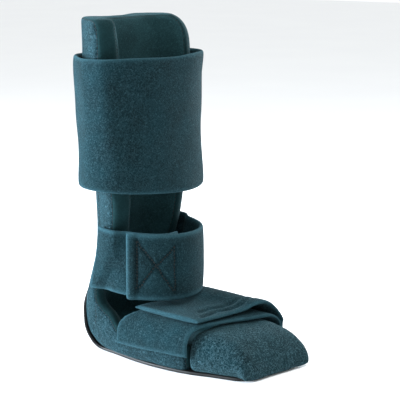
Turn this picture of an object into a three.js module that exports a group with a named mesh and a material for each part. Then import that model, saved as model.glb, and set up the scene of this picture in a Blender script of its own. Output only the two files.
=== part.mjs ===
// A plantar fasciitis night splint for a right foot: an L-shaped padded trough in a plastic shell,
// held round the calf by a wide cuff, round the ankle by a strap, and over the forefoot by two more.
// Units are millimetres. +Z is up, the toes point along -Y, and the origin is on the floor,
// under the middle of the calf. The near side is -X, where the straps are fastened.
import * as THREE from "three";

// Sizes of the whole splint.
const SPLINT_HEIGHT = 376;
const HEEL_REACH = 61;
const TOE_REACH = 178;
const CALF_HALF_WIDTH = 83;
const FOOT_HALF_WIDTH = 56;

// The plastic shell.
const SHELL_THICKNESS = 3.6;
const SHELL_DROP = 30;

// The padded trough.
const WING_DEPTH = 48;
const FOOT_WALL_HEIGHT = 28;
const CALF_PAD_THICKNESS = 28;
const FOOT_PAD_THICKNESS = 17;
const WING_SPLAY_DEGREES = 27;
const HEEL_RADIUS = 31;
const HEEL_NECK_REACH = 55;
const ANKLE_CUT_REACH = 70;
const NEAR_CORNER_RADIUS = 15;
const FAR_CORNER_RADIUS = 30;
const RIM_BULGE = 3;

// The wedge under the toes.
const WEDGE_START = 104;
const WEDGE_HEIGHT = 44;

// The forefoot bends towards the big toe's side, and the toe edge slants.
const TOE_SHIFT = 8;
const TOE_SLANT = 0.17;

// The cuff and the straps are cloth laminated on foam.
const CUFF_HEIGHT = 145;
const CUFF_DROP = 41;
const CUFF_THICKNESS = 7.5;
const CUFF_HALF_DEPTH = 48;
const CUFF_FLARE = 5;
const CUFF_HEM_TILT = 5;
const CUFF_OVERLAP_DEGREES = 40;
const ANKLE_STRAP_WIDTH = 72;
const ANKLE_STRAP_HEIGHT = 113;
const ANKLE_STRAP_THICKNESS = 6;
const ANKLE_STRAP_FRONT_REACH = 62;
const ANKLE_STRAP_HALF_WIDTH = 59;
const ANKLE_STRAP_TILT = 10;
const FOOT_STRAP_WIDTH = 100;
const FOOT_STRAP_START = 9;
const FOOT_STRAP_THICKNESS = 5.5;
const FOOT_STRAP_HEM_HEIGHT = 21;
const FOOT_STRAP_RISE = 61;
const FOOT_STRAP_FALL = 5;
const FOOT_STRAP_SLANT = 34;
const FOOT_STRAP_NEAR_RADIUS = 14;
const FOOT_STRAP_FAR_RADIUS = 19;
const FOOT_STRAP_LOOP_RISE = 7;
const FOOT_STRAP_LOOP_WIDTH = 44;

// Gaps between pieces that lie on each other: in general, under the pad, and under the cuff and the
// ankle strap, which are drawn round the trough's curves in flat facets.
const SEAT_GAP = 0.4;
const SHELL_GAP = 0.4;
const CUFF_GAP = 1.1;
const ANKLE_STRAP_GAP = 0.5;

const CLOTH = { color: 0x2c5a66, roughness: 0.95, metalness: 0 };
const PLASTIC = { color: 0x14181a, roughness: 0.45, metalness: 0 };

const { lerp, smoothstep, clamp, degToRad } = THREE.MathUtils;
const range = (count, value) => Array.from({ length: count }, (_, i) => value(i));

// A closed solid through rings of equally many points. A ring runs out along one side of a wall and
// back along the other, so its two halves face each other and a strip of triangles closes each end.
function loft(rings) {
  const count = rings[0].length;
  const last = (rings.length - 1) * count;
  const positions = rings.flat().flatMap((p) => p.toArray());
  const faces = [];
  for (let r = 0; r + 1 < rings.length; r++) {
    for (let i = 0; i < count; i++) {
      const a = r * count + i;
      const b = r * count + ((i + 1) % count);
      faces.push(a, b, b + count, a, b + count, a + count);
    }
  }
  for (let i = 0; i + 1 < count / 2; i++) {
    const j = count - 1 - i;
    faces.push(i, j, i + 1, last + i, last + i + 1, last + j);
    if (j - 1 > i + 1) {
      faces.push(j, j - 1, i + 1, last + j, last + i + 1, last + j - 1);
    }
  }
  const geometry = new THREE.BufferGeometry();
  geometry.setAttribute("position", new THREE.Float32BufferAttribute(positions, 3));
  geometry.setIndex(volumeOf(positions, faces) < 0 ? faces.reverse() : faces);
  geometry.computeVertexNormals();
  return geometry;
}

function volumeOf(positions, faces) {
  const corner = (i) => new THREE.Vector3().fromArray(positions, 3 * i);
  let six = 0;
  for (let i = 0; i < faces.length; i += 3) {
    six += corner(faces[i]).dot(corner(faces[i + 1]).cross(corner(faces[i + 2])));
  }
  return six / 6;
}

// A row between two rows of a table, with every column eased and never past its neighbours.
function rowAt(table, at) {
  const index = clamp(Math.floor(at), 0, table.length - 2);
  const t = at - index;
  const row = {};
  for (const key of Object.keys(table[0])) {
    const value = (i) => table[clamp(i, 0, table.length - 1)][key];
    const [p0, p1, p2, p3] = range(4, (i) => value(index - 1 + i));
    const rise = p2 - p1;
    const limit = (slope) => Math.sign(rise) * Math.min(Math.abs(slope), 3 * Math.abs(rise));
    const slope1 = rise * (p1 - p0) > 0 ? limit((p2 - p0) / 2) : 0;
    const slope2 = rise * (p3 - p2) > 0 ? limit((p3 - p1) / 2) : 0;
    const [t2, t3] = [t * t, t * t * t];
    row[key] = (2 * t3 - 3 * t2 + 1) * p1 + (t3 - 2 * t2 + t) * slope1;
    row[key] += (3 * t2 - 2 * t3) * p2 + (t3 - t2) * slope2;
  }
  return row;
}

// Moves a point of the foot part over towards the big toe's side and slants it like the toe edge.
function warpFoot(x, y, z) {
  const ahead = clamp(-y / TOE_REACH, 0, 1);
  const shift = TOE_SHIFT * smoothstep(ahead, 0.4, 1);
  const slant = TOE_SLANT * smoothstep(ahead, 0.3, 1);
  return new THREE.Vector3(x + shift, y - slant * x, z);
}

// The pad's outer face lies on the shell. Its sections are level down the calf, fan out round the
// heel about a pivot, and stand upright along the foot.
const PAD_FLOOR = SHELL_THICKNESS + SHELL_GAP;
const PIVOT = new THREE.Vector2(HEEL_REACH - ANKLE_CUT_REACH, PAD_FLOOR + ANKLE_CUT_REACH);

// Calf sections, from the top down. rise runs from the pivot's height to the top, back is a share of
// HEEL_REACH, half of CALF_HALF_WIDTH, depth of WING_DEPTH, flat of the half width, and shell is how
// much of the half outline the plastic covers.
const CALF_ROWS = [
  { rise: 1.0, back: 0.73, half: 1.0, depth: 1.0, flat: 0.53, splay: 1.0, thick: 1.0, shell: 0.22 },
  { rise: 0.83, back: 0.73, half: 0.98, depth: 1.0, flat: 0.53, splay: 1.0, thick: 1.0, shell: 0.22 },
  { rise: 0.66, back: 0.7, half: 0.93, depth: 1.0, flat: 0.52, splay: 0.95, thick: 1.0, shell: 0.22 },
  { rise: 0.5, back: 0.65, half: 0.85, depth: 0.99, flat: 0.5, splay: 0.9, thick: 1.0, shell: 0.22 },
  { rise: 0.33, back: 0.66, half: 0.77, depth: 0.96, flat: 0.45, splay: 0.85, thick: 0.98, shell: 0.22 },
  { rise: 0.2, back: 0.71, half: 0.72, depth: 0.93, flat: 0.36, splay: 0.7, thick: 0.9, shell: 0.24 },
  { rise: 0.1, back: 0.78, half: 0.68, depth: 0.76, flat: 0.26, splay: 0.5, thick: 0.82, shell: 0.3 },
];

// Heel sections. along runs down the heel's profile from its neck to the floor, half is a share of
// FOOT_HALF_WIDTH, and depth of FOOT_WALL_HEIGHT.
const HEEL_ROWS = [
  { along: 0, half: 0.94, depth: 0.86, flat: 0.22, splay: 0.25, thick: 1.0, shell: 0.42 },
  { along: 0.25, half: 0.92, depth: 1.25, flat: 0.22, splay: 0.15, thick: 1.0, shell: 0.56 },
  { along: 0.5, half: 0.91, depth: 1.7, flat: 0.26, splay: 0.1, thick: 1.0, shell: 0.54 },
  { along: 0.75, half: 0.89, depth: 1.88, flat: 0.45, splay: 0.1, thick: 1.0, shell: 0.48 },
  { along: 1, half: 0.9, depth: 1.55, flat: 0.76, splay: 0.1, thick: 1.0, shell: 0.44 },
];

// Foot sections. ahead is a share of TOE_REACH.
const FOOT_ROWS = [
  { ahead: -0.06, half: 0.92, depth: 1.1, flat: 0.86, splay: 0.1, thick: 1.0, shell: 0.52 },
  { ahead: 0.06, half: 0.95, depth: 0.86, flat: 0.91, splay: 0.1, thick: 1.0, shell: 0.61 },
  { ahead: 0.22, half: 0.99, depth: 0.95, flat: 0.94, splay: 0.1, thick: 1.0, shell: 0.63 },
  { ahead: 0.4, half: 1.0, depth: 1.0, flat: 0.95, splay: 0.1, thick: 1.0, shell: 0.63 },
];
const PAD_END = { half: 0.99, depth: 1.0, flat: 0.95, splay: 0.1, thick: 1.0, shell: 0.63 };

// Sole sections under the wedge, where only the plastic goes on.
const SOLE_ROWS = [
  { ahead: 0.7, half: 0.97, depth: 1.0, flat: 0.95, splay: 0.1, thick: 1.0, shell: 0.6 },
  { ahead: 0.84, half: 0.93, depth: 1.0, flat: 0.95, splay: 0.1, thick: 1.0, shell: 0.59 },
  { ahead: 0.91, half: 0.9, depth: 1.0, flat: 0.94, splay: 0.1, thick: 1.0, shell: 0.58 },
  { ahead: 0.945, half: 0.8, depth: 1.0, flat: 0.93, splay: 0.1, thick: 1.0, shell: 0.55 },
];

// The heel's profile, from its neck at the pivot's height round to the floor.
const HEEL_PROFILE = new THREE.CubicBezierCurve(
  new THREE.Vector2(HEEL_NECK_REACH, PIVOT.y),
  new THREE.Vector2(1.09 * HEEL_REACH, lerp(PAD_FLOOR, PIVOT.y, 0.5)),
  new THREE.Vector2(1.16 * HEEL_REACH, PAD_FLOOR),
  new THREE.Vector2(HEEL_REACH - HEEL_RADIUS, PAD_FLOOR),
);

// The turn of the fan's ray through a point, level at the neck and upright ahead of the pivot.
function turnAt(y, z) {
  return Math.atan2(PIVOT.y - z, Math.max(y - PIVOT.x, 0));
}

function footRow(shares, y, z) {
  return {
    y,
    z,
    turn: turnAt(y, z),
    half: shares.half * FOOT_HALF_WIDTH,
    depth: shares.depth * FOOT_WALL_HEIGHT,
    flat: shares.flat,
    splay: degToRad(shares.splay * WING_SPLAY_DEGREES),
    thick: shares.thick * FOOT_PAD_THICKNESS,
    shell: shares.shell,
  };
}

const CALF_TABLE = CALF_ROWS.map((r) => ({
  y: r.back * HEEL_REACH,
  z: lerp(PIVOT.y, SPLINT_HEIGHT, r.rise),
  turn: 0,
  half: r.half * CALF_HALF_WIDTH,
  depth: r.depth * WING_DEPTH,
  flat: r.flat,
  splay: degToRad(r.splay * WING_SPLAY_DEGREES),
  thick: r.thick * CALF_PAD_THICKNESS,
  shell: r.shell,
}));
const HEEL_TABLE = HEEL_ROWS.map((r) => {
  const point = HEEL_PROFILE.getPoint(r.along);
  return footRow(r, point.x, point.y);
});
const FOOT_TABLE = [
  ...FOOT_ROWS.map((r) => footRow(r, -r.ahead * TOE_REACH, PAD_FLOOR)),
  footRow(PAD_END, -WEDGE_START, PAD_FLOOR),
];
const SOLE_TABLE = SOLE_ROWS.map((r) => footRow(r, -r.ahead * TOE_REACH, PAD_FLOOR));
const PAD_TABLE = [...CALF_TABLE, ...HEEL_TABLE, ...FOOT_TABLE];

// One half of a section's U, from the middle of its back, at the floor's depth, to its wing's end.
function halfOutline(half, depth, flat, splay, floor) {
  const lean = 0.65 * Math.tan(splay) * (depth - floor);
  const foot = half - lean;
  const outline = new THREE.CurvePath();
  const start = new THREE.Vector2(flat, floor);
  outline.add(new THREE.LineCurve(new THREE.Vector2(0, floor), start));
  outline.add(
    new THREE.CubicBezierCurve(
      start,
      new THREE.Vector2(lerp(flat, foot, 0.6), floor),
      new THREE.Vector2(foot, lerp(floor, depth, 0.35)),
      new THREE.Vector2(half, depth),
    ),
  );
  return outline;
}

function outerOutline(row) {
  return halfOutline(row.half, row.depth, row.flat * row.half, row.splay, 0);
}

function innerOutline(row) {
  const half = row.half - row.thick * Math.cos(row.splay);
  const depth = row.depth + row.thick * Math.sin(row.splay);
  return halfOutline(half, Math.max(depth, row.thick + 1), row.flat * half, row.splay, row.thick);
}

// Places a point of a section, across and deep, into the splint.
function place(row, across, deep) {
  const y = row.y - deep * Math.cos(row.turn);
  const z = row.z + deep * Math.sin(row.turn);
  return row.turn > 0 ? warpFoot(across, y, z) : new THREE.Vector3(across, y, z);
}

// How much of a wing is left this far below the top, where its corner is rounded.
function wingShare(row, radius) {
  const above = clamp(1 - (SPLINT_HEIGHT - row.z) / radius, 0, 1);
  const cut = radius * (1 - Math.sqrt(1 - above ** 2));
  return 1 - cut / outerOutline(row).getLength();
}

// One closed section of the pad: out along the outer face, round the rim, back along the inner face.
// Its points stand opposite the shell's as far as the shell goes, so that the two faces stay apart.
const SHELL_STEPS = 5;
const BARE_STEPS = 6;
function padRing(row) {
  const outer = outerOutline(row);
  const inner = innerOutline(row);
  const half = (sign, radius) => {
    const share = wingShare(row, radius);
    const shares = [
      ...range(SHELL_STEPS, (i) => (row.shell * i) / SHELL_STEPS),
      ...range(BARE_STEPS + 1, (i) => lerp(row.shell, share, i / BARE_STEPS)),
    ];
    const out = shares.map((t) => outer.getPoint(t));
    const back = shares.map((t) => inner.getPoint(t));
    const along = outer.getTangent(Math.min(share, 0.999)).multiplyScalar(RIM_BULGE);
    const rim = (t) => out.at(-1).clone().lerp(back.at(-1), t).add(along);
    const put = (p) => place(row, sign * p.x, p.y);
    return { outer: [...out, rim(0.25)].map(put), inner: [...back, rim(0.75)].map(put) };
  };
  const near = half(-1, NEAR_CORNER_RADIUS);
  const far = half(1, FAR_CORNER_RADIUS);
  return [
    ...near.outer.slice(1).reverse(),
    ...far.outer,
    ...far.inner.reverse(),
    ...near.inner.slice(1),
  ];
}

// Where along the table the sections stand: close together round the top corners, then even.
const CORNER_STEPS = [0, 0.1, 0.3, 0.6, 1];
const PAD_RINGS = 34;
const TOP_ROW_GAP = CALF_TABLE[0].z - CALF_TABLE[1].z;
const PAD_END_AT = PAD_TABLE.length - 1;
const CORNER_END_AT = FAR_CORNER_RADIUS / TOP_ROW_GAP;
const PAD_PLACES = [
  ...CORNER_STEPS.map((t) => CORNER_END_AT * t),
  ...range(PAD_RINGS, (i) => lerp(CORNER_END_AT, PAD_END_AT, (i + 1) / PAD_RINGS)),
];

// The shell follows the outside of the pad, SHELL_GAP away, as far round as each section says.
const SHELL_TABLE = [...PAD_TABLE, ...SOLE_TABLE];
function shellRing(row) {
  const outline = outerOutline(row);
  const at = (i, distance) => {
    const share = (row.shell * i) / SHELL_STEPS;
    const along = outline.getTangent(share);
    return outline.getPoint(share).add(new THREE.Vector2(along.y, -along.x).multiplyScalar(distance));
  };
  const face = (distance) => {
    const half = range(SHELL_STEPS + 1, (i) => at(i, distance));
    const near = half.slice(1).reverse().map((p) => place(row, -p.x, p.y));
    return [...near, ...half.map((p) => place(row, p.x, p.y))];
  };
  return [...face(SHELL_GAP), ...face(SHELL_GAP + SHELL_THICKNESS).reverse()];
}

const SHELL_START_AT = SHELL_DROP / TOP_ROW_GAP;
const SHELL_PLACES = [
  SHELL_START_AT,
  ...PAD_PLACES.filter((at) => at > SHELL_START_AT),
  ...range(2 * SOLE_ROWS.length, (i) => PAD_END_AT + (i + 1) / 2),
];

const PAD_SECTIONS = PAD_PLACES.map((at) => padRing(rowAt(PAD_TABLE, at)));
const SHELL_SECTIONS = SHELL_PLACES.map((at) => shellRing(rowAt(SHELL_TABLE, at)));

// The wedge's sections: ahead runs from its back to its nose, top is a share of WEDGE_HEIGHT, half of
// FOOT_HALF_WIDTH, and shoulder is the share of the half width that is rounded off on top. drop is how
// far the underside comes down from the top of the sole to the floor, past the sole's end.
const WEDGE_ROWS = [
  { ahead: 0, top: 0.9, half: 0.95, shoulder: 0.34, drop: 0 },
  { ahead: 0.08, top: 0.98, half: 0.97, shoulder: 0.34, drop: 0 },
  { ahead: 0.3, top: 1.0, half: 0.97, shoulder: 0.36, drop: 0 },
  { ahead: 0.52, top: 0.93, half: 0.96, shoulder: 0.38, drop: 0 },
  { ahead: 0.72, top: 0.82, half: 0.94, shoulder: 0.36, drop: 0 },
  { ahead: 0.87, top: 0.61, half: 0.92, shoulder: 0.3, drop: 0 },
  { ahead: 0.96, top: 0.37, half: 0.9, shoulder: 0.2, drop: 0.6 },
  { ahead: 1, top: 0.14, half: 0.89, shoulder: 0.12, drop: 0.7 },
];
const WEDGE_RINGS = 14;
const WEDGE_STEPS = 4;
const WEDGE_UNDER_SHARE = 0.97;
const WEDGE_UPRIGHT_SHARE = 0.3;
function wedgeRing(row) {
  const y = -lerp(WEDGE_START + SEAT_GAP, TOE_REACH, row.ahead);
  const half = row.half * FOOT_HALF_WIDTH;
  const top = PAD_FLOOR + row.top * WEDGE_HEIGHT;
  const low = PAD_FLOOR * (1 - row.drop);
  const shoulder = row.shoulder * half;
  const corner = range(WEDGE_STEPS + 1, (i) => {
    const turn = (Math.PI / 2) * (i / WEDGE_STEPS);
    const x = half - shoulder * (1 - Math.cos(turn));
    return new THREE.Vector2(x, lerp(low, top, lerp(WEDGE_UPRIGHT_SHARE, 1, Math.sin(turn))));
  });
  const under = half * WEDGE_UNDER_SHARE;
  const over = [new THREE.Vector2(under, low), ...corner, new THREE.Vector2(0, top)];
  const far = over.map((p) => warpFoot(p.x, y, p.y));
  const near = over.slice(0, -1).reverse().map((p) => warpFoot(-p.x, y, p.y));
  const count = far.length + near.length - 2;
  const base = range(count, (i) => warpFoot(under * lerp(-1, 1, (i + 1) / (count + 1)), y, low));
  return [...far, ...near, ...base];
}

function wedgeRings() {
  const end = WEDGE_ROWS.length - 1;
  return range(WEDGE_RINGS + 1, (i) => wedgeRing(rowAt(WEDGE_ROWS, (end * i) / WEDGE_RINGS)));
}

// The plan outline of a lofted wall at a height: where its lengthwise lines pass that height.
function sliceAt(rings, z) {
  return rings[0].map((_, i) => {
    const below = clamp(rings.findIndex((ring) => ring[i].z <= z), 1, rings.length - 1);
    const [upper, lower] = [rings[below - 1][i], rings[below][i]];
    const t = clamp((upper.z - z) / (upper.z - lower.z), 0, 1);
    return upper.clone().lerp(lower, t);
  });
}

// How far from a centre the trough and its shell reach, at a height and a plan angle.
function troughReach(centre, z, angle) {
  const ray = new THREE.Vector2(Math.cos(angle), Math.sin(angle));
  let reach = 0;
  for (const rings of [PAD_SECTIONS, SHELL_SECTIONS]) {
    const outline = sliceAt(rings, z).map((p) => new THREE.Vector2(p.x, p.y).sub(centre));
    outline.forEach((p, i) => {
      const q = outline[(i + 1) % outline.length];
      const [side1, side2] = [ray.cross(p), ray.cross(q)];
      if (side1 * side2 > 0 || side1 === side2) {
        return;
      }
      const hit = p.clone().lerp(q, side1 / (side1 - side2));
      reach = Math.max(reach, hit.dot(ray));
    });
  }
  return reach;
}

// Across a strap from edge to edge, and how full its thickness is there, so its edges are round.
const STRAP_PROFILE = [
  { across: 0, full: 0.4 },
  { across: 0.03, full: 0.85 },
  { across: 0.26, full: 1 },
  { across: 0.5, full: 1 },
  { across: 0.74, full: 1 },
  { across: 0.97, full: 0.85 },
  { across: 1, full: 0.4 },
];

// A strap: sections lofted along its length. surface gives its inner face and the way out of it.
const STRAP_END_FULL = 0.55;
function makeStrap(surface, thickness, steps) {
  const places = [0, 0.01, ...range(steps - 1, (i) => (i + 1) / steps), 0.99, 1];
  const rings = places.map((along) => {
    const end = along === 0 || along === 1 ? STRAP_END_FULL : 1;
    const points = STRAP_PROFILE.map(({ across, full }) => {
      const { inner, outward } = surface(along, across);
      const inset = ((1 - full * end) / 2) * thickness;
      return [
        inner.clone().addScaledVector(outward, inset),
        inner.clone().addScaledVector(outward, thickness - inset),
      ];
    });
    return [...points.map((p) => p[0]), ...points.map((p) => p[1]).reverse()];
  });
  return loft(rings);
}

// A strap wound round the calf part between two plan angles. endSlant turns its lower corner at the
// end further back. heightAt gives the height of a point across it, ovalAt the free oval it takes
// where the trough doesn't push it out, and layerAt how many layers of strap it lies over. The trough
// is felt for on either side of each point too, because the strap's facets are flat in between.
const BESIDE_STEPS = [-2, -1, 0, 1, 2];
const BESIDE_ACROSS = [-0.1, 0, 0.1];
function makeWrap(strap) {
  const { centre, from, to, endSlant = 0, gap, thickness, steps, heightAt, ovalAt, layerAt } = strap;
  const halfStep = (from - to) / steps / 2;
  const surface = (along, across) => {
    const angle = lerp(from, to + endSlant * (across - 0.5), along);
    const z = heightAt(angle, across);
    const oval = ovalAt(angle, across);
    const free = 1 / Math.hypot(Math.cos(angle) / oval.x, Math.sin(angle) / oval.y);
    const reach = Math.max(
      ...BESIDE_ACROSS.flatMap((d) => {
        const level = heightAt(angle, clamp(across + d, 0, 1));
        return BESIDE_STEPS.map(
          (k) => troughReach(centre, level, angle + k * halfStep) / Math.cos(k * halfStep),
        );
      }),
    );
    const radius = Math.max(free, reach + gap) + layerAt(angle) * (thickness + SEAT_GAP);
    const outward = new THREE.Vector3(Math.cos(angle), Math.sin(angle), 0);
    const inner = new THREE.Vector3(centre.x, centre.y, z).addScaledVector(outward, radius);
    return { inner, outward };
  };
  return makeStrap(surface, thickness, steps);
}

// The cuff goes all the way round, and its last stretch lies over its first.
const CUFF_FROM = degToRad(60);
const CUFF_TURN = 2 * Math.PI + degToRad(CUFF_OVERLAP_DEGREES);
const CUFF_CLIMB = degToRad(22);
const CUFF_HEM_LOWEST = degToRad(-53);
const CUFF_TOP_SHARE = 0.97;
const CUFF_HEM_SHARE = 0.95;
const CUFF_HOLLOW = 3;
function makeCuff() {
  const top = SPLINT_HEIGHT - CUFF_DROP;
  return makeWrap({
    centre: new THREE.Vector2(1, 3),
    from: CUFF_FROM,
    to: CUFF_FROM - CUFF_TURN,
    gap: CUFF_GAP,
    thickness: CUFF_THICKNESS,
    steps: 54,
    heightAt: (angle, across) =>
      top - (1 - across) * (CUFF_HEIGHT + CUFF_HEM_TILT * Math.cos(angle - CUFF_HEM_LOWEST)),
    ovalAt: (angle, across) => {
      const flare = CUFF_FLARE * (2 * across - 1) ** 2 - CUFF_HOLLOW;
      const half = CALF_HALF_WIDTH * lerp(CUFF_HEM_SHARE, CUFF_TOP_SHARE, across);
      return new THREE.Vector2(half + flare, CUFF_HALF_DEPTH + flare);
    },
    layerAt: (angle) => smoothstep(CUFF_FROM - angle, 2 * Math.PI - CUFF_CLIMB, 2 * Math.PI),
  });
}

// The ankle strap is in two parts, each sewn to a side of the trough. The near part goes under and
// curls in at its end, and the far part comes round the front and is fastened over it.
const ANKLE_CENTRE = new THREE.Vector2(0, -4);
const ANKLE_LAYER = ANKLE_STRAP_THICKNESS + SEAT_GAP;
const ANKLE_NEAR_SEAM = degToRad(157);
const ANKLE_NEAR_SEAM_SLANT = degToRad(10);
const ANKLE_NEAR_END = degToRad(262);
const ANKLE_CURL = degToRad(16);
const ANKLE_CURL_LAYERS = 0.9;
const ANKLE_FAR_SEAM = degToRad(36);
const ANKLE_FAR_END = degToRad(-162);
const ANKLE_FAR_RISE = [degToRad(-10), degToRad(-60)];
function makeAnklePart(from, to, endSlant, steps, layerAt) {
  return makeWrap({
    centre: ANKLE_CENTRE,
    from,
    to,
    endSlant,
    gap: ANKLE_STRAP_GAP,
    thickness: ANKLE_STRAP_THICKNESS,
    steps,
    heightAt: (angle, across) =>
      ANKLE_STRAP_HEIGHT + (across - 0.5) * ANKLE_STRAP_WIDTH + (ANKLE_STRAP_TILT / 2) * Math.sin(angle),
    ovalAt: () => {
      const half = ANKLE_STRAP_HALF_WIDTH - ANKLE_LAYER;
      return new THREE.Vector2(half, ANKLE_STRAP_FRONT_REACH + ANKLE_CENTRE.y - ANKLE_LAYER);
    },
    layerAt,
  });
}

function makeNearAnkleStrap() {
  const curl = (angle) => smoothstep(angle, ANKLE_NEAR_END - ANKLE_CURL, ANKLE_NEAR_END);
  const layerAt = (angle) => -ANKLE_CURL_LAYERS * curl(angle);
  return makeAnklePart(ANKLE_NEAR_END, ANKLE_NEAR_SEAM, ANKLE_NEAR_SEAM_SLANT, 16, layerAt);
}

function makeFarAnkleStrap() {
  const [low, high] = ANKLE_FAR_RISE;
  return makeAnklePart(ANKLE_FAR_SEAM, ANKLE_FAR_END, 0, 28, (angle) => smoothstep(-angle, -low, -high));
}

// The forefoot straps run across the foot. Their routes are the middle lines of their inner faces,
// seen from the toes, and the rows give how far their edges lean forward as shares of the slant.
function roundedArch(half, low, top, nearRadius, farRadius) {
  const arch = new THREE.CurvePath();
  const line = (x1, z1, x2, z2) =>
    arch.add(new THREE.LineCurve(new THREE.Vector2(x1, z1), new THREE.Vector2(x2, z2)));
  const corner = (x, radius, from) =>
    arch.add(new THREE.EllipseCurve(x, top - radius, radius, radius, from, from - Math.PI / 2, true));
  line(-half, low, -half, top - nearRadius);
  corner(nearRadius - half, nearRadius, Math.PI);
  line(nearRadius - half, top, half - farRadius, top);
  corner(half - farRadius, farRadius, Math.PI / 2);
  line(half, top - farRadius, half, low);
  return arch;
}

const FOOT_STRAP_INNER_TOP = FOOT_STRAP_RISE - FOOT_STRAP_THICKNESS;
const NEAR_STRAP_LEAN = [
  { rear: 0, front: 0 },
  { rear: 0.06, front: 0.03 },
  { rear: 0.6, front: 0.25 },
  { rear: 0.72, front: 0.45 },
  { rear: 0.84, front: 0.65 },
  { rear: 0.94, front: 0.78 },
  { rear: 1, front: 0.82 },
  { rear: 1, front: 0.82 },
];

function footStrapSurface(route, leanRows, inset) {
  return (along, across) => {
    const lean = rowAt(leanRows, along * (leanRows.length - 1));
    const rear = FOOT_STRAP_START + inset + lean.rear * FOOT_STRAP_SLANT;
    const front = FOOT_STRAP_START + FOOT_STRAP_WIDTH - inset + lean.front * FOOT_STRAP_SLANT;
    const ahead = lerp(rear, front, across);
    const point = route.getPoint(along);
    const tangent = route.getTangent(along);
    const onTop = smoothstep(point.y, FOOT_STRAP_HEM_HEIGHT, FOOT_STRAP_INNER_TOP);
    const fall = (onTop * FOOT_STRAP_FALL * (ahead - FOOT_STRAP_START)) / FOOT_STRAP_WIDTH;
    const inner = warpFoot(point.x, -ahead, point.y - fall);
    return { inner, outward: new THREE.Vector3(-tangent.y, 0, tangent.x) };
  };
}

function makeNearFootStrap() {
  const half = FOOT_HALF_WIDTH + 2 * SEAT_GAP;
  const low = FOOT_STRAP_HEM_HEIGHT;
  const top = FOOT_STRAP_INNER_TOP;
  const route = roundedArch(half, low, top, FOOT_STRAP_NEAR_RADIUS, FOOT_STRAP_FAR_RADIUS);
  return makeStrap(footStrapSurface(route, NEAR_STRAP_LEAN, 0), FOOT_STRAP_THICKNESS, 24);
}

// From the free end, over the top and round the loop, down to the far wall.
const FAR_STRAP_LEAN = [
  { rear: 0.4, front: 0.3 },
  { rear: 0.55, front: 0.4 },
  { rear: 0.7, front: 0.55 },
  { rear: 0.85, front: 0.7 },
  { rear: 0.95, front: 0.8 },
  { rear: 1, front: 0.85 },
  { rear: 1, front: 0.85 },
];

const FAR_STRAP_INSET = 4;
function makeFarFootStrap() {
  const half = FOOT_HALF_WIDTH + FOOT_STRAP_THICKNESS + 3 * SEAT_GAP;
  const low = FOOT_STRAP_HEM_HEIGHT;
  const top = FOOT_STRAP_RISE + SEAT_GAP;
  const side = top - FOOT_STRAP_FAR_RADIUS;
  const loop = (across, rise) =>
    new THREE.Vector2(half - across * FOOT_STRAP_LOOP_WIDTH, top + rise * FOOT_STRAP_LOOP_RISE);
  const route = new THREE.SplineCurve([
    new THREE.Vector2(-0.8 * half, top),
    new THREE.Vector2(-0.45 * half, top),
    new THREE.Vector2(-0.1 * half, top),
    loop(1, 0.3),
    loop(0.75, 0.9),
    loop(0.45, 1),
    loop(0.2, 0),
    new THREE.Vector2(half, lerp(side, top, 0.35)),
    new THREE.Vector2(half, side),
    new THREE.Vector2(half, low),
  ]);
  return makeStrap(footStrapSurface(route, FAR_STRAP_LEAN, FAR_STRAP_INSET), FOOT_STRAP_THICKNESS, 27);
}

const splint = new THREE.Group();
function add(name, geometry, material) {
  const mesh = new THREE.Mesh(geometry, new THREE.MeshStandardMaterial(material));
  mesh.name = name;
  splint.add(mesh);
}
add("shell", loft(SHELL_SECTIONS), PLASTIC);
add("liner", loft(PAD_SECTIONS), CLOTH);
add("toe_wedge", loft(wedgeRings()), CLOTH);
add("calf_cuff", makeCuff(), CLOTH);
add("ankle_strap_near", makeNearAnkleStrap(), CLOTH);
add("ankle_strap", makeFarAnkleStrap(), CLOTH);
add("foot_strap_near", makeNearFootStrap(), CLOTH);
add("foot_strap_far", makeFarFootStrap(), CLOTH);

export default splint;
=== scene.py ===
import math

import bpy
from mathutils import Matrix, Vector, noise
from mathutils.bvhtree import BVHTree
from mathutils.kdtree import KDTree


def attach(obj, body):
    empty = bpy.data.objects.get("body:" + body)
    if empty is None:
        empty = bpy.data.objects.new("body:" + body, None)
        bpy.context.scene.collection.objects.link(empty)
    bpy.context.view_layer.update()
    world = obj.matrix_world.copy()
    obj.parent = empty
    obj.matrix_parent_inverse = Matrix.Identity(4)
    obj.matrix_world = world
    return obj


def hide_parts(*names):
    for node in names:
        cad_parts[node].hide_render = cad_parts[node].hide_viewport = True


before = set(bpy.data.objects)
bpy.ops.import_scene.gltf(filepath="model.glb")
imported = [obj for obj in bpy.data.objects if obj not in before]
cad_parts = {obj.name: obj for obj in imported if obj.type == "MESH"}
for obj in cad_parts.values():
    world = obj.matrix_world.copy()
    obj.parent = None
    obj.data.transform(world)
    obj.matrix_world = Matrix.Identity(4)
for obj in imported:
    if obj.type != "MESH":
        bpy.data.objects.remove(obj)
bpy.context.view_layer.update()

# The stiff shell: one moulded L of black polypropylene, a strip up the back of the calf, a heel cup and
# a plate under the sole. It carries everything else, and the foam trough is bonded to its inner face.
MM = 0.001
MERGE_GAP = 0.02 * MM
QUAD_BEND = math.radians(70)
QUAD_SKEW = math.radians(170)
SHELL_EDGE_ROUND = 0.9 * MM
SHELL_EDGE_TURN = math.radians(45)
SHELL_PLASTIC = "#08090a"
SHELL_WORN = "#101213"
SHELL_GRAIN = 1.1 * MM
SHELL_GRAIN_DEPTH = 0.1 * MM
SHELL_WEAR_PATCH = 28 * MM

# A Mix node gives its sockets the same names for numbers and colours, so they are taken by these places.
MIX_SHARE = 0
NUMBER_A = 2
NUMBER_B = 3
COLOUR_A = 6
COLOUR_B = 7
MIXED_COLOUR = 2


def pick(piece):
    """Leaves one object selected and active, because an operator acts on all that is selected."""
    bpy.ops.object.select_all(action="DESELECT")
    piece.select_set(True)
    bpy.context.view_layer.objects.active = piece


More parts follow.
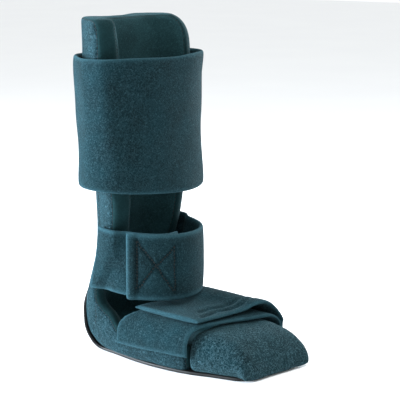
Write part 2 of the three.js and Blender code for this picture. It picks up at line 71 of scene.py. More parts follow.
def copy_of(node_name, piece_name):
    """Copies a CAD node's mesh into a new object and merges its loose triangles into quads."""
    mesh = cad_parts[node_name].data.copy()
    mesh.materials.clear()
    piece = bpy.data.objects.new(piece_name, mesh)
    bpy.context.scene.collection.objects.link(piece)
    pick(piece)
    bpy.ops.object.mode_set(mode="EDIT")
    bpy.ops.mesh.select_all(action="SELECT")
    bpy.ops.mesh.remove_doubles(threshold=MERGE_GAP)
    bpy.ops.mesh.tris_convert_to_quads(face_threshold=QUAD_BEND, shape_threshold=QUAD_SKEW)
    bpy.ops.object.mode_set(mode="OBJECT")
    return piece


def apply_modifier(piece, kind, **settings):
    """Adds one modifier with its settings and applies it."""
    modifier = piece.modifiers.new(kind.title(), kind)
    for key, value in settings.items():
        setattr(modifier, key, value)
    pick(piece)
    bpy.ops.object.modifier_apply(modifier=modifier.name)


def subdivide(piece, levels):
    """Rounds the piece with a Catmull-Clark subdivision."""
    apply_modifier(piece, "SUBSURF", levels=levels, render_levels=levels)


def smooth_shade(piece, degrees):
    """Shades the piece smooth, apart from edges that turn by more than this."""
    pick(piece)
    bpy.ops.object.shade_smooth_by_angle(angle=math.radians(degrees))


def colour(hex_value):
    """Turns an sRGB hex colour into the linear one that a shader takes."""
    channels = [int(hex_value[i : i + 2], 16) / 255 for i in (1, 3, 5)]
    return [c / 12.92 if c <= 0.04045 else ((c + 0.055) / 1.055) ** 2.4 for c in channels] + [1]


def add_node(tree, kind, links=None, values=None, **settings):
    """Adds one node: settings go on the node, values on its own sockets, and links join its inputs."""
    node = tree.nodes.new(kind)
    for key, value in settings.items():
        setattr(node, key, value)
    for socket, value in (values or {}).items():
        node.inputs[socket].default_value = value
    for socket, source in (links or {}).items():
        tree.links.new(source, node.inputs[socket])
    return node


def new_material(name):
    """An empty node material, and its tree."""
    material = bpy.data.materials.new(name)
    material.use_nodes = True
    material.node_tree.nodes.clear()
    return material, material.node_tree


def finish_material(tree, shader):
    """Joins the shader to the material's output."""
    add_node(tree, "ShaderNodeOutputMaterial", {"Surface": shader.outputs[0]})


# Moulded polypropylene: near black, with the faint satin of a spark-eroded mould, a little glossier in
# patches. The real grain is too fine to show, so it is drawn coarser.
shell_plastic, tree = new_material("moulded_black_polypropylene")
place = add_node(tree, "ShaderNodeTexCoord").outputs["Object"]
grain = add_node(tree, "ShaderNodeTexNoise", {"Vector": place}, {"Scale": 1 / SHELL_GRAIN, "Detail": 3})
wear = add_node(tree, "ShaderNodeTexNoise", {"Vector": place}, {"Scale": 1 / SHELL_WEAR_PATCH, "Detail": 2})
gloss = add_node(
    tree, "ShaderNodeMapRange", {"Value": wear.outputs["Fac"]}, {"To Min": 0.42, "To Max": 0.56}
)
relief = add_node(
    tree,
    "ShaderNodeBump",
    {"Height": grain.outputs["Fac"]},
    {"Strength": 0.25, "Distance": SHELL_GRAIN_DEPTH},
)
tone = add_node(
    tree,
    "ShaderNodeMix",
    {MIX_SHARE: wear.outputs["Fac"]},
    {COLOUR_A: colour(SHELL_PLASTIC), COLOUR_B: colour(SHELL_WORN)},
    data_type="RGBA",
)
surface = add_node(
    tree,
    "ShaderNodeBsdfPrincipled",
    {"Base Color": tone.outputs[MIXED_COLOUR], "Roughness": gloss.outputs[0], "Normal": relief.outputs[0]},
    {"IOR": 1.49, "Specular IOR Level": 0.3},
)
finish_material(tree, surface)

shell = copy_of("shell", "back_shell")
apply_modifier(
    shell, "BEVEL", width=SHELL_EDGE_ROUND, segments=2, limit_method="ANGLE", angle_limit=SHELL_EDGE_TURN
)
subdivide(shell, 2)
smooth_shade(shell, 60)
shell.data.materials.append(shell_plastic)
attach(shell, "root")
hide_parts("shell")

# The trough: a thick foam pad that the calf, heel and foot lie in, bonded to the shell. Brushed loop cloth
# covers the outside, a boxing strip of smooth knit its rim, and the same knit its inside. Both edges of the
# strip are sewn, and so is a seam up each side of the back.
FOAM_VOXEL = 4 * MM
CLOTH_FRAMES = 20
CLOTH_PRESSURE = 4.0
TROUGH_SWELL = 1.5 * MM
TROUGH_HEAVE = 0.6 * MM
TROUGH_WAVE = 34 * MM
CLEARANCE = 0.2 * MM
CLEARANCE_SEARCH = 6 * MM
SHARP_TURN = math.radians(24)
SEAM_DEPTH = 0.7 * MM
SEAM_WIDTH = 1.3 * MM
RIM_SEAM_STEP = 3 * MM
LEAST_RIM_POINTS = 7
STITCH_LENGTH = 2.7 * MM
STITCH_PITCH = 3.6 * MM
THREAD_RADIUS = 0.42 * MM
THREAD_FLATNESS = 0.8
THREAD_LIFT = 0.3
THREAD_TWIST = 0.8 * MM
LOOP_DEEP = "#071417"
LOOP_BODY = "#0c252b"
LOOP_TIP = "#405f69"
LINING_DEEP = "#112427"
LINING_BODY = "#1b363a"
LINING_TIP = "#35585e"
# The rim strip is darkened towards this colour by a share: painted shade, as the rim faces away from the
# light.
RIM_PAINTED_SHADE = "#04191b"
RIM_PAINTED_SHADE_SHARE = 0.55
CLOTH_SHEEN = "#86b8c4"
THREAD_COLOUR = "#060d0e"
THREAD_PALE = "#101e20"
TROUGH_PILE = 0.7 * MM
STRANDS_PER_LOOP = 3.3
KNIT_SHARE_OF_PILE = 0.35
EDGE_SMOOTHING = 12
LOWER_EDGE_DROP = 2.4 * MM
LOWER_EDGE_REACH = 9 * MM
FLOOR_OF_PAD = 4 * MM
SIDEWAYS = 0.3
CALF_AXIS = Vector((0, -4 * MM, 0))
RAY_START = 0.2

# The seam up each side of the back, as degrees round the calf and millimetres of height. The rear is at 90.
REAR = 90
BACK_SEAM = [
    (153, 370),
    (153, 300),
    (153, 230),
    (153, 177),
    (151, 159),
    (148, 100),
    (145, 62),
    (142, 40),
    (134, 24),
]


def faces_of(obj):
    """The faces of an object, to be searched for the nearest one or met by a ray."""
    mesh = obj.data
    return BVHTree.FromPolygons([v.co for v in mesh.vertices], [p.vertices for p in mesh.polygons])


def remesh(piece, voxel):
    """Gives the piece an even skin of small faces."""
    pick(piece)
    piece.data.remesh_voxel_size = voxel
    bpy.ops.object.voxel_remesh()


def inflate(piece, swell):
    """Blows the foam up as cloth under pressure, then keeps each point within its allowed move."""
    before = [v.co.copy() for v in piece.data.vertices]
    cloth = piece.modifiers.new("Cloth", "CLOTH")
    cloth.settings.use_pressure = True
    cloth.settings.uniform_pressure_force = CLOTH_PRESSURE
    cloth.settings.effector_weights.gravity = 0
    cloth.point_cache.frame_end = CLOTH_FRAMES
    for number in range(1, CLOTH_FRAMES + 1):
        bpy.context.scene.frame_set(number)
    pick(piece)
    bpy.ops.object.modifier_apply(modifier=cloth.name)
    bpy.context.scene.frame_set(1)
    for vertex, start in zip(piece.data.vertices, before):
        move = vertex.co - start
        if move.length > swell:
            vertex.co = start + move * (swell / move.length)


def heave(piece, amount, reach, seed):
    """Moves the skin in and out in low soft waves, as foam under cloth is never quite even.

    The seed takes each piece to its own stretch of the noise.
    """
    offset = Vector((seed, seed * 2.3, seed * 4.1))
    normals = [v.normal.copy() for v in piece.data.vertices]
    for vertex, normal in zip(piece.data.vertices, normals):
        vertex.co += normal * (noise.noise(vertex.co / reach + offset) * amount)


def keep_clear(piece, neighbours, gap):
    """Pushes back each point that has come nearer than the gap to another solid."""
    for node_name in neighbours:
        other = faces_of(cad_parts[node_name])
        for vertex in piece.data.vertices:
            spot, normal, _, distance = other.find_nearest(vertex.co, CLEARANCE_SEARCH)
            if spot is None:
                continue
            depth = (vertex.co - spot).dot(normal)
            if depth < gap and (distance < gap or depth < 0):
                vertex.co = spot + normal * gap


def face_groups(piece):
    """Groups the faces that run on smoothly into each other, the largest group first."""
    mesh = piece.data
    sides = {}
    for polygon in mesh.polygons:
        for edge in polygon.edge_keys:
            sides.setdefault(edge, []).append(polygon.index)
    group = [-1] * len(mesh.polygons)
    sizes = []
    for start in range(len(group)):
        if group[start] >= 0:
            continue
        group[start] = len(sizes)
        heap = [start]
        area = 0
        while heap:
            face = mesh.polygons[heap.pop()]
            area += face.area
            for edge in face.edge_keys:
                for other in sides[edge]:
                    turn = face.normal.angle(mesh.polygons[other].normal, 0)
                    if group[other] < 0 and turn < SHARP_TURN:
                        group[other] = len(sizes)
                        heap.append(other)
        sizes.append(area)
    order = sorted(range(len(sizes)), key=lambda i: -sizes[i])
    rank = {old: new for new, old in enumerate(order)}
    return [rank[g] for g in group], sides


def chains(links):
    """Joins pairs of points into the open or closed lines that they make."""
    near = {}
    for a, b in links:
        near.setdefault(a, []).append(b)
        near.setdefault(b, []).append(a)
    lines = []
    left = set(near)
    while left:
        ends = sorted(p for p in left if len(near[p]) == 1) or sorted(left)
        line = [ends[0]]
        left.discard(ends[0])
        while True:
            onward = [p for p in near[line[-1]] if p in left]
            if not onward:
                break
            line.append(onward[0])
            left.discard(onward[0])
        if len(line) > 2 and line[0] in near[line[-1]]:
            line.append(line[0])
        lines.append(line)
    return [line for line in lines if len(line) > 1]


def spaced(points, pitch):
    """Points one pitch apart along a line."""
    found = [points[0].copy()]
    left = pitch
    for start, end in zip(points, points[1:]):
        length = (end - start).length
        run = left
        while run <= length and length > 0:
            found.append(start.lerp(end, run / length))
            run += pitch
        left = run - length
    return found


def onto(surface, points):
    """Puts each point on the nearest place of a surface."""
    return [surface.find_nearest(p)[0] for p in points]


def round_ray(surface, degrees, height, centre):
    """Where a surface is met by a level ray that comes in towards an axis."""
    turn = math.radians(degrees)
    out = Vector((math.cos(turn), math.sin(turn), 0))
    start = Vector((centre.x, centre.y, height)) + out * RAY_START
    return surface.ray_cast(start, -out)[0]


def nearness(piece, lines, width):
    """How near each point of a piece is to some lines, from 1 on a line to 0 well away from it."""
    marks = [p for line in lines for p in spaced(line, width / 2)]
    tree = KDTree(len(marks))
    for index, mark in enumerate(marks):
        tree.insert(mark, index)
    tree.balance()
    return [math.exp(-((tree.find(v.co)[2] / width) ** 2)) for v in piece.data.vertices]


def press_in(piece, lines, depth, width):
    """Draws the cloth in along sewn lines, with a soft shoulder on both sides."""
    normals = [v.normal.copy() for v in piece.data.vertices]
    for vertex, normal, share in zip(piece.data.vertices, normals, nearness(piece, lines, width)):
        vertex.co -= normal * depth * share


def note(piece, name, values):
    """Writes one number for each point, for the piece's cloth to read."""
    layer = piece.data.attributes.new(name, "FLOAT", "POINT")
    for index, value in enumerate(values):
        layer.data[index].value = value


def sew(name, surface, lines, radius=THREAD_RADIUS):
    """Lays short thread stitches along lines on a surface, all copies of one small spindle."""
    bpy.ops.object.select_all(action="DESELECT")
    bpy.ops.mesh.primitive_uv_sphere_add(segments=6, ring_count=4, radius=1)
    spindle = bpy.context.active_object
    stitches = []
    for line in lines:
        points = onto(surface, spaced(line, STITCH_PITCH))
        for start, end in zip(points, points[1:]):
            middle, normal, _, _ = surface.find_nearest((start + end) / 2)
            along = (end - start).normalized()
            across = normal.cross(along).normalized()
            up = along.cross(across)
            turn = Matrix((along, across, up)).transposed().to_4x4()
            size = Matrix.Diagonal((STITCH_LENGTH / 2, radius, radius * THREAD_FLATNESS, 1))
            stitch = spindle.data.copy()
            stitch.transform(Matrix.Translation(middle + up * radius * THREAD_LIFT) @ turn @ size)
            stitches.append(bpy.data.objects.new(name, stitch))
    bpy.data.objects.remove(spindle)
    for stitch in stitches:
        bpy.context.scene.collection.objects.link(stitch)
        stitch.select_set(True)
    bpy.context.view_layer.objects.active = stitches[0]
    bpy.ops.object.join()
    thread = bpy.context.active_object
    thread.name = name
    smooth_shade(thread, 180)
    thread.data.materials.append(dark_thread)
    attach(thread, "root")


def cloth_nodes(tree, place, look):
    """The colour and the height of one cloth: curled loops that show as pale flecks over a dark ground.

    A look is the ground's two colours, the flecks' colour, the size of a loop, the size of a patch where the
    nap lies one way, and the strength of the flecks.
    """
    deep, body, tip, loop, nap, flecks = look
    brushing = add_node(
        tree, "ShaderNodeTexNoise", {"Vector": place}, {"Scale": 1 / nap, "Detail": 3, "Roughness": 0.6}
    )
    curls = add_node(
        tree,
        "ShaderNodeTexNoise",
        {"Vector": place},
        {"Scale": 1 / loop, "Detail": 4, "Roughness": 0.72, "Distortion": 1.2},
    )
    strands = add_node(
        tree, "ShaderNodeTexNoise", {"Vector": place}, {"Scale": STRANDS_PER_LOOP / loop, "Detail": 2}
    )
    ground = add_node(
        tree, "ShaderNodeMapRange", {"Value": brushing.outputs["Fac"]}, {"From Min": 0.15, "From Max": 0.8}
    )
    cloth = add_node(
        tree,
        "ShaderNodeMix",
        {MIX_SHARE: ground.outputs[0]},
        {COLOUR_A: colour(deep), COLOUR_B: colour(body)},
        data_type="RGBA",
    )
    fleck = add_node(
        tree,
        "ShaderNodeMapRange",
        {"Value": curls.outputs["Fac"]},
        {"From Min": 0.48, "From Max": 0.72, "To Max": flecks},
    )
    flecked = add_node(
        tree,
        "ShaderNodeMix",
        {MIX_SHARE: fleck.outputs[0], COLOUR_A: cloth.outputs[MIXED_COLOUR]},
        {COLOUR_B: colour(tip)},
        data_type="RGBA",
    )
    height = add_node(
        tree,
        "ShaderNodeMath",
        {0: curls.outputs["Fac"], 1: strands.outputs["Fac"]},
        operation="ADD",
    )
    return flecked.outputs[MIXED_COLOUR], height.outputs[0]


def finish_cloth(tree, shade, height, pile, sheen):
    """A dull cloth with a pile of a given height, and the pale sheen that its fibres have at a low angle."""
    relief = add_node(tree, "ShaderNodeBump", {"Height": height}, {"Strength": 0.9, "Distance": pile})
    surface = add_node(
        tree,
        "ShaderNodeBsdfPrincipled",
        {"Base Color": shade, "Normal": relief.outputs[0]},
        {
            "Roughness": 0.92,
            "Specular IOR Level": 0.05,
            "Sheen Weight": sheen,
            "Sheen Roughness": 0.4,
            "Sheen Tint": colour(CLOTH_SHEEN),
        },
    )
    finish_material(tree, surface)


# Brushed nylon loop outside, knit lining inside: the loops show as pale curled flecks, and the lining as a
# closer, quieter face. The real loops are finer, and are drawn about 2 mm across so that they show. The
# piece's own lining attribute says which cloth is where, and its rim shade attribute darkens the rim strip
# as painted shade.
LOOP_LOOK = (LOOP_DEEP, LOOP_BODY, LOOP_TIP, 2.0 * MM, 20 * MM, 0.75)
LINING_LOOK = (LINING_DEEP, LINING_BODY, LINING_TIP, 1.7 * MM, 24 * MM, 0.45)
trough_cloth, tree = new_material("brushed_nylon_loop_with_knit_lining")
place = add_node(tree, "ShaderNodeTexCoord").outputs["Object"]
loop_shade, loop_height = cloth_nodes(tree, place, LOOP_LOOK)
knit_shade, knit_height = cloth_nodes(tree, place, LINING_LOOK)
inside = add_node(tree, "ShaderNodeAttribute", attribute_name="lining")
turnover = add_node(
    tree, "ShaderNodeMapRange", {"Value": inside.outputs["Fac"]}, {"From Min": 0.4, "From Max": 0.6}
)
# Painted shade: the rim strip is darkened, as it faces away from the light.
painted_rim_shade = add_node(tree, "ShaderNodeAttribute", attribute_name="painted_rim_shade")
knit_and_rim_shade = add_node(
    tree,
    "ShaderNodeMix",
    {MIX_SHARE: painted_rim_shade.outputs["Fac"], COLOUR_A: knit_shade},
    {COLOUR_B: colour(RIM_PAINTED_SHADE)},
    data_type="RGBA",
)
shade = add_node(
    tree,
    "ShaderNodeMix",
    {MIX_SHARE: turnover.outputs[0], COLOUR_A: loop_shade, COLOUR_B: knit_and_rim_shade.outputs[MIXED_COLOUR]},
    data_type="RGBA",
)
low_knit = add_node(
    tree, "ShaderNodeMath", {0: knit_height}, {1: KNIT_SHARE_OF_PILE}, operation="MULTIPLY"
)
height = add_node(
    tree,
    "ShaderNodeMix",
    {MIX_SHARE: turnover.outputs[0], NUMBER_A: loop_height, NUMBER_B: low_knit.outputs[0]},
)
finish_cloth(tree, shade.outputs[MIXED_COLOUR], height.outputs[0], TROUGH_PILE, sheen=0.15)

# Bonded polyester thread: nearly black and slightly shiny. Its twist is too fine to show, so it is drawn as
# a faint mottle.
dark_thread, tree = new_material("bonded_polyester_thread")
place = add_node(tree, "ShaderNodeTexCoord").outputs["Object"]
twist = add_node(tree, "ShaderNodeTexNoise", {"Vector": place}, {"Scale": 1 / THREAD_TWIST, "Detail": 1})
shade = add_node(
    tree,
    "ShaderNodeMix",
    {MIX_SHARE: twist.outputs["Fac"]},
    {COLOUR_A: colour(THREAD_COLOUR), COLOUR_B: colour(THREAD_PALE)},
    data_type="RGBA",
)
surface = add_node(
    tree,
    "ShaderNodeBsdfPrincipled",
    {"Base Color": shade.outputs[MIXED_COLOUR]},
    {"Roughness": 0.7, "Specular IOR Level": 0.25},
)
finish_material(tree, surface)

# The two largest groups of faces are the outside and the inside. The outside has the rearmost face.
liner = copy_of("liner", "foam_trough")
groups, sides = face_groups(liner)
centres = [p.center.copy() for p in liner.data.polygons]
outer_group = groups[max(range(len(groups)), key=lambda i: centres[i].y)]
inner_group = 1 - outer_group
plain_faces = faces_of(liner)
corner = [v.co.copy() for v in liner.data.vertices]
rim_seams = []
for face_group in (outer_group, inner_group):
    links = [
        edge
        for edge, faces in sides.items()
        if len(faces) == 2 and (groups[faces[0]] == face_group) != (groups[faces[1]] == face_group)
    ]
    rim_seams += [[corner[i] for i in line] for line in chains(links)]
subdivide(liner, 1)
remesh(liner, FOAM_VOXEL)
apply_modifier(liner, "SMOOTH", factor=0.5, iterations=EDGE_SMOOTHING)
inflate(liner, TROUGH_SWELL)
heave(liner, TROUGH_HEAVE, TROUGH_WAVE, seed=3.0)
subdivide(liner, 1)
skin = faces_of(liner)
back_seams = []
for side in (1, -1):
    hits = [round_ray(skin, REAR + side * (a - REAR), h * MM, CALF_AXIS) for a, h in BACK_SEAM]
    back_seams.append([h for h in hits if h is not None])
rim_seams = [onto(skin, spaced(line, RIM_SEAM_STEP)) for line in rim_seams if len(line) >= LEAST_RIM_POINTS]
press_in(liner, rim_seams + back_seams, SEAM_DEPTH, SEAM_WIDTH)

# The lower edge of the sides is drawn down over the edge of the sole.
facing = [v.normal.copy() for v in liner.data.vertices]
for vertex, normal in zip(liner.data.vertices, facing):
    height = (vertex.co.z - FLOOR_OF_PAD) / LOWER_EDGE_REACH
    if height < 1 and normal.xy.length > SIDEWAYS:
        vertex.co.z -= LOWER_EDGE_DROP * (1 - max(height, 0))
trough_neighbours = ["shell", "calf_cuff", "ankle_strap", "ankle_strap_near", "toe_wedge", "foot_strap_near"]
keep_clear(liner, trough_neighbours, CLEARANCE)
nearest_faces = [plain_faces.find_nearest(v.co)[2] for v in liner.data.vertices]
note(liner, "lining", [0 if groups[face] == outer_group else 1 for face in nearest_faces])
# The rim strip is given painted shade, darker as it faces away from the light.
on_strip = [groups[face] not in (outer_group, inner_group) for face in nearest_faces]
note(liner, "painted_rim_shade", [RIM_PAINTED_SHADE_SHARE if on_it else 0 for on_it in on_strip])
smooth_shade(liner, 180)
liner.data.materials.append(trough_cloth)
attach(liner, "root")
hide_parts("liner")
sew("trough_seam_thread", faces_of(liner), rim_seams + back_seams)

# The toe wedge: a puffed block of soft foam in coarse loop cloth, closed at the nose, which lies on the
# front of the sole and lifts the toes. It is held to the sole by hook tape underneath.
WEDGE_SWELL = 3.0 * MM
WEDGE_HEAVE = 1.3 * MM
WEDGE_WAVE = 22 * MM
WEDGE_PILE = 0.9 * MM
WEDGE_TIP = "#557b87"
WEDGE_LOOK = (LOOP_DEEP, LOOP_BODY, WEDGE_TIP, 1.9 * MM, 17 * MM, 0.55)

# Brushed nylon loop with a longer pile: its curls stand higher and show paler than those on the trough.
wedge_cloth, tree = new_material("coarse_brushed_nylon_loop")
place = add_node(tree, "ShaderNodeTexCoord").outputs["Object"]
shade, height = cloth_nodes(tree, place, WEDGE_LOOK)
finish_cloth(tree, shade, height, WEDGE_PILE, sheen=0.22)

wedge = copy_of("toe_wedge", "toe_wedge_pad")
subdivide(wedge, 1)
remesh(wedge, FOAM_VOXEL)
inflate(wedge, WEDGE_SWELL)
heave(wedge, WEDGE_HEAVE, WEDGE_WAVE, seed=8.0)
subdivide(wedge, 1)
keep_clear(wedge, ["shell", "liner", "foot_strap_near"], CLEARANCE)
smooth_shade(wedge, 180)
wedge.data.materials.append(wedge_cloth)
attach(wedge, "root")
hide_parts("toe_wedge")

# The calf cuff: a wide wrap of foam laminated between loop cloth and knit, closed on itself at the far
# side by hook tape. Its cut edges are rolled soft, and it waves a little as it was pulled round.
CUFF_HEAVE = 1.5 * MM
CUFF_WAVE = 48 * MM
STRAP_PILE = 0.5 * MM
STRAP_TIP = "#3a5962"
CUFF_LOOK = (LOOP_DEEP, LOOP_BODY, STRAP_TIP, 1.5 * MM, 26 * MM, 0.58)
EDGE_RUNG = 3.2 * MM
# The rolled edges are paled towards this colour: a painted highlight where light catches them.
EDGE_PAINTED_HIGHLIGHT = "#3c6470"
EDGE_HIGHLIGHT_WIDTH = 3.0 * MM
EDGE_HIGHLIGHT_SHARE = 0.3
# Cloth along the seams is darkened towards this colour: painted shade in the grooves where the seams press
# the pile down.
SEAM_PAINTED_SHADE = "#010405"

# Laminated nylon loop: a lower and closer pile than the trough's. A painted highlight makes it a little
# paler along the rolled edges, where light catches them, and painted shade makes it nearly black where a
# seam draws it in.
strap_cloth, tree = new_material("laminated_nylon_loop")
place = add_node(tree, "ShaderNodeTexCoord").outputs["Object"]
shade, height = cloth_nodes(tree, place, CUFF_LOOK)
# Painted highlight along the rolled edges.
edge_highlight = add_node(tree, "ShaderNodeAttribute", attribute_name="painted_edge_highlight")
highlighted = add_node(
    tree,
    "ShaderNodeMix",
    {MIX_SHARE: edge_highlight.outputs["Fac"], COLOUR_A: shade},
    {COLOUR_B: colour(EDGE_PAINTED_HIGHLIGHT)},
    data_type="RGBA",
)
# Painted shade in the seam grooves.
painted_seam_shade = add_node(tree, "ShaderNodeAttribute", attribute_name="painted_seam_shade")
shaded = add_node(
    tree,
    "ShaderNodeMix",
    {MIX_SHARE: painted_seam_shade.outputs["Fac"], COLOUR_A: highlighted.outputs[MIXED_COLOUR]},
    {COLOUR_B: colour(SEAM_PAINTED_SHADE)},
    data_type="RGBA",
)
finish_cloth(tree, shaded.outputs[MIXED_COLOUR], height, STRAP_PILE, sheen=0.1)


def ply_lines(piece):
    """The middle of a strap's cut edge all the way round, where its two plies meet."""
    mesh = piece.data
    corner = [v.co.copy() for v in mesh.vertices]
    links = []
    for polygon in mesh.polygons:
        rungs = [e for e in polygon.edge_keys if (corner[e[0]] - corner[e[1]]).length < EDGE_RUNG]
        if len(rungs) == 2 and not set(rungs[0]) & set(rungs[1]):
            links.append((rungs[0], rungs[1]))
    return [[(corner[a] + corner[b]) / 2 for a, b in line] for line in chains(links)]


def finish_strap(piece, node_name, plies):
    """Dresses a strap in the laminate, with a painted highlight along its cut edges, and stands it in for
    its CAD node.
    """
    note(piece, "painted_edge_highlight", [EDGE_HIGHLIGHT_SHARE * n for n in nearness(piece, plies, EDGE_HIGHLIGHT_WIDTH)])
    smooth_shade(piece, 180)
    piece.data.materials.append(strap_cloth)
    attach(piece, "root")
    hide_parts(node_name)


cuff = copy_of("calf_cuff", "calf_wrap")
cuff_plies = ply_lines(cuff)
subdivide(cuff, 3)
heave(cuff, CUFF_HEAVE, CUFF_WAVE, seed=5.0)
keep_clear(cuff, ["liner", "shell"], CLEARANCE)
finish_strap(cuff, "calf_cuff", cuff_plies)

# The ankle strap: the same laminate, 72 mm wide, sewn to each side of the trough. The near part lies
# under, and the far part comes round the front over it. Its end is turned under as a thick hem and sewn
# with two rows and a cross.
STRAP_VOXEL = 1.5 * MM
STRAP_HEAVE = 0.5 * MM
STRAP_WAVE = 30 * MM
HEM_FROM = math.radians(198)
HEM_TO = math.radians(208.5)
HEM_RISE = 2.4 * MM
HEM_ROUNDNESS = 0.6
FACING_IN = -0.3
CROSS_THREAD_RADIUS = 0.9 * MM
CROSS_DIP_DEPTH = 0.9 * MM
CROSS_DIP_WIDTH = 4.5 * MM
CROSS_GROOVE_DEPTH = 1.5 * MM
CROSS_GROOVE_WIDTH = 1.6 * MM
CROSS_STEPS = 16
# The width of the painted shade along the sewn cross.
SEAM_SHADE_WIDTH = 1.7 * MM
STRAP_MIDDLE = 113 * MM
STRAP_HALF = 36 * MM
STRAP_SAG = 1.5 * MM
CROSS_REAR = [(209, 139), (209, 83)]
CROSS_FRONT = [(248, 131), (248, 78)]
CROSS_DOWN = [(209, 139), (228, 111), (248, 79)]
CROSS_UP = [(248, 131), (228, 111), (209, 84)]


def along_strap(surface, corners):
    """A line over the strap between corners given as degrees round the ankle and millimetres of height."""
    line = []
    for (turn1, height1), (turn2, height2) in zip(corners, corners[1:]):
        for step in range(CROSS_STEPS + 1):
            share = step / CROSS_STEPS
            turn = turn1 + (turn2 - turn1) * share
            height = (height1 + (height2 - height1) * share) * MM
            line.append(round_ray(surface, turn, height, CALF_AXIS))
    return [p for p in line if p is not None]


near_ankle = copy_of("ankle_strap_near", "ankle_wrap_under")
near_ankle_plies = ply_lines(near_ankle)
subdivide(near_ankle, 1)
remesh(near_ankle, STRAP_VOXEL)
heave(near_ankle, STRAP_HEAVE, STRAP_WAVE, seed=9.0)
keep_clear(near_ankle, ["liner", "shell"], CLEARANCE)
finish_strap(near_ankle, "ankle_strap_near", near_ankle_plies)

far_ankle = copy_of("ankle_strap", "ankle_wrap_over")
far_ankle_plies = ply_lines(far_ankle)
subdivide(far_ankle, 1)
remesh(far_ankle, STRAP_VOXEL)
heave(far_ankle, STRAP_HEAVE, STRAP_WAVE, seed=2.0)

# The lower half sags a little, and the hem stands out along the strap's end.
facing = [v.normal.copy() for v in far_ankle.data.vertices]
for vertex, normal in zip(far_ankle.data.vertices, facing):
    vertex.co.z -= STRAP_SAG * max(0, (STRAP_MIDDLE - vertex.co.z) / STRAP_HALF)
    out = Vector((vertex.co.x - CALF_AXIS.x, vertex.co.y - CALF_AXIS.y, 0))
    turn = math.atan2(out.y, out.x) % (2 * math.pi)
    share = (turn - HEM_FROM) / (HEM_TO - HEM_FROM)
    if 0 < share < 1 and normal.dot(out.normalized()) > FACING_IN:
        vertex.co += out.normalized() * HEM_RISE * math.sin(math.pi * share) ** HEM_ROUNDNESS
skin = faces_of(far_ankle)
cross = [along_strap(skin, line) for line in (CROSS_REAR, CROSS_FRONT, CROSS_DOWN, CROSS_UP)]
press_in(far_ankle, cross, CROSS_DIP_DEPTH, CROSS_DIP_WIDTH)
subdivide(far_ankle, 1)
press_in(far_ankle, cross, CROSS_GROOVE_DEPTH, CROSS_GROOVE_WIDTH)
keep_clear(far_ankle, ["liner", "ankle_strap_near"], CLEARANCE)
# The cross's grooves get painted shade.
note(far_ankle, "painted_seam_shade", nearness(far_ankle, cross, SEAM_SHADE_WIDTH))
finish_strap(far_ankle, "ankle_strap", far_ankle_plies)
sew("ankle_cross_thread", faces_of(far_ankle), cross, CROSS_THREAD_RADIUS)

# The near foot strap: the same laminate, about 100 mm wide. It is sewn to the near wall by its rounded end
# and goes up and over the forefoot. A groove along its cut edge shows that it has two plies.
FOOT_STRAP_VOXEL = 1.1 * MM
FOOT_STRAP_HEAVE = 0.6 * MM
FOOT_STRAP_WAVE = 26 * MM
PLY_DEPTH = 1.1 * MM
PLY_WIDTH = 0.9 * MM
PLY_STEP = 2 * MM
FOLD_DEPTH = 1.9 * MM
FOLD_WIDTH = 2.8 * MM


def from_above(surface, corners):
    """Puts a line, given by millimetres in plan, down on top of a surface."""
    down = Vector((0, 0, -1))
    drops = [surface.ray_cast(Vector((x * MM, y * MM, RAY_START)), down)[0] for x, y in corners]
    return [p for p in drops if p is not None]


def foot_strap(node_name, piece_name, neighbours, seed, folds=()):
    """Makes a foot strap from its CAD node, with its two plies and any folds along it."""
    piece = copy_of(node_name, piece_name)
    plies = ply_lines(piece)
    subdivide(piece, 1)
    remesh(piece, FOOT_STRAP_VOXEL)
    heave(piece, FOOT_STRAP_HEAVE, FOOT_STRAP_WAVE, seed)
    if folds:
        press_in(piece, [from_above(faces_of(piece), line) for line in folds], FOLD_DEPTH, FOLD_WIDTH)
    edges = [onto(faces_of(piece), spaced(line, PLY_STEP)) for line in plies]
    press_in(piece, edges, PLY_DEPTH, PLY_WIDTH)
    keep_clear(piece, neighbours, CLEARANCE)
    finish_strap(piece, node_name, plies)


foot_strap("foot_strap_near", "near_foot_wrap", ["liner", "toe_wedge"], seed=4.0)

# The far foot strap: the same laminate again. It comes up from the far wall, turns in a low loop and lies
# back over the near one. Two soft folds run along it, given in millimetres as seen from above.
FOLDS = [
    [(-32, -106), (-5, -106), (10, -112), (28, -117), (50, -115)],
    [(-20, -94), (-5, -95), (10, -102), (28, -107), (50, -105)],
]
foot_strap("foot_strap_far", "far_foot_wrap", ["foot_strap_near"], seed=7.0, folds=FOLDS)

# The floor is a plain sheet of pale matt paper that the splint stands on, large enough to have no edge in
# the picture. Its tone drifts a little, as paper under a lamp does.
FLOOR_SIZE = 14
PAPER_PATCHES_PER_METRE = 3
PAPER_DARK = "#e9ebec"
PAPER_PALE = "#eef0f0"
bpy.ops.object.select_all(action="DESELECT")
bpy.ops.mesh.primitive_plane_add(size=FLOOR_SIZE, location=(0, 0, 0))
floor = bpy.context.active_object
floor.name = "studio_floor"
floor_paint, tree = new_material("pale_matt_paper")
place = add_node(tree, "ShaderNodeTexCoord").outputs["Object"]
drift = add_node(
    tree, "ShaderNodeTexNoise", {"Vector": place}, {"Scale": PAPER_PATCHES_PER_METRE, "Detail": 2}
)
paper = add_node(
    tree,
    "ShaderNodeMix",
    {MIX_SHARE: drift.outputs["Fac"]},
    {COLOUR_A: colour(PAPER_DARK), COLOUR_B: colour(PAPER_PALE)},
    data_type="RGBA",
)
surface = add_node(
    tree, "ShaderNodeBsdfPrincipled", {"Base Color": paper.outputs[MIXED_COLOUR]}, {"Roughness": 0.9}
)
finish_material(tree, surface)
floor.data.materials.append(floor_paint)

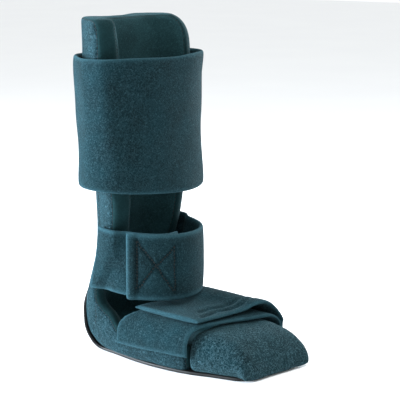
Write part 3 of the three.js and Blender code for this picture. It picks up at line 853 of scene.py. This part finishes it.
# The light is one broad soft box to the left, a weaker one behind to the right, a faint one overhead, and
# a pale room all round. Places are given along the picture: to its right, away from the camera, and up.
OBJECT_MIDDLE = Vector((0, -0.05, 0.17))
IMAGE_RIGHT = Vector((0.602, -0.799, 0))
AWAY = Vector((0.799, 0.602, 0))
UP = Vector((0, 0, 1))
ROOM_COLOUR = "#fafbfc"
ROOM_STRENGTH = 1.05


def soft_box(name, right, away, up, size, watts, tint):
    """A square lamp that faces the object, placed in metres from its middle."""
    position = OBJECT_MIDDLE + IMAGE_RIGHT * right + AWAY * away + UP * up
    lamp = bpy.data.lights.new(name, "AREA")
    lamp.shape = "SQUARE"
    lamp.size = size
    lamp.energy = watts
    lamp.color = colour(tint)[:3]
    box = bpy.data.objects.new(name, lamp)
    bpy.context.scene.collection.objects.link(box)
    box.location = position
    box.rotation_euler = (OBJECT_MIDDLE - position).to_track_quat("-Z", "Y").to_euler()


soft_box("key_box", right=-1.4, away=-0.2, up=0.2, size=0.8, watts=100, tint="#e9f4ff")
soft_box("rim_box", right=1.0, away=1.3, up=0.35, size=0.8, watts=34, tint="#eef8ff")
soft_box("top_box", right=0.3, away=-0.3, up=1.5, size=1.2, watts=22, tint="#ffffff")
world = bpy.data.worlds.new("pale_room")
bpy.context.scene.world = world
world.use_nodes = True
world.node_tree.nodes.clear()
room = add_node(
    world.node_tree,
    "ShaderNodeBackground",
    values={"Color": colour(ROOM_COLOUR), "Strength": ROOM_STRENGTH},
)
add_node(world.node_tree, "ShaderNodeOutputWorld", {"Surface": room.outputs[0]})
bpy.context.scene.view_settings.view_transform = "Standard"

# The camera stands where the photographer's did, in front of the near side and looking a little down. Its
# long lens keeps the splint's upright lines nearly parallel.
CAMERA_PLACE = (-1.1871, -0.9730, 0.4666)
CAMERA_TILT = math.radians(79.1)
CAMERA_TURN = math.radians(-53)
lens = bpy.data.cameras.new("photo_camera")
lens.sensor_width = 36
lens.lens = 126
camera = bpy.data.objects.new("photo_camera", lens)
bpy.context.scene.collection.objects.link(camera)
camera.location = CAMERA_PLACE
camera.rotation_euler = (CAMERA_TILT, 0, CAMERA_TURN)
bpy.context.scene.camera = camera
